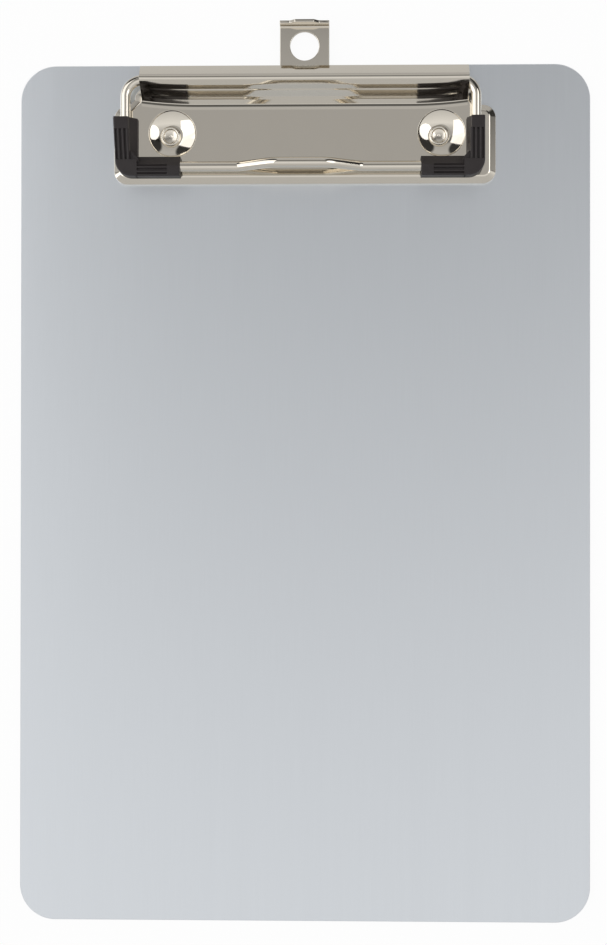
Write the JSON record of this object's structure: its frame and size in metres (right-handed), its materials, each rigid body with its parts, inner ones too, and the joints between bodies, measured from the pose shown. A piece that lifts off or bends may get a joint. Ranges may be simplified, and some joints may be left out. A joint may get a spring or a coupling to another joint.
{
  "type": "clipboard",
  "caption": "Flat brushed-aluminium memo clipboard with a low-profile wire bail clip, black ribbed corner caps and a sliding hanging tab.",
  "frame": {"origin": "centre of the board's back face", "axes": "+Z out of the writing face, +Y along the board towards the clip's edge, +X to the right when the clip is at the top"},
  "size_m": [0.1524, 0.2401, 0.0129],
  "materials": {
    "brushed_aluminium": "brushed along the length, satin",
    "nickel_plate": "bright nickel plating",
    "black_rubber": "matte moulded",
    "spring_steel": "bright drawn wire",
    "plain_steel": "zinc grey"
  },
  "bodies": {
    "board_and_plate": {"board": "brushed_aluminium", "base_plate": "nickel_plate", "rivet_left": "nickel_plate", "rivet_right": "nickel_plate", "bearing_left": "plain_steel", "bearing_right": "plain_steel", "spring_left": "spring_steel", "spring_right": "spring_steel"},
    "bail": {"bail_wire": "nickel_plate", "corner_cap_left": "black_rubber", "corner_cap_right": "black_rubber"},
    "tab": {"hang_tab": "nickel_plate"}
  },
  "joints": [
    {"name": "bail_swing", "type": "hinge", "parent": "board_and_plate", "child": "bail", "pos_m": [0, 0.1095, 0.0061], "axis": [-1, 0, 0], "range_deg": [0, 80], "stiffness_Nm_per_rad": 0.25, "springref_deg": -68.75, "deforming": ["spring_left", "spring_right"]},
    {"name": "tab_slide", "type": "slide", "parent": "board_and_plate", "child": "tab", "axis": [0, -1, 0], "range_m": [0, 0.0112]}
  ]
}
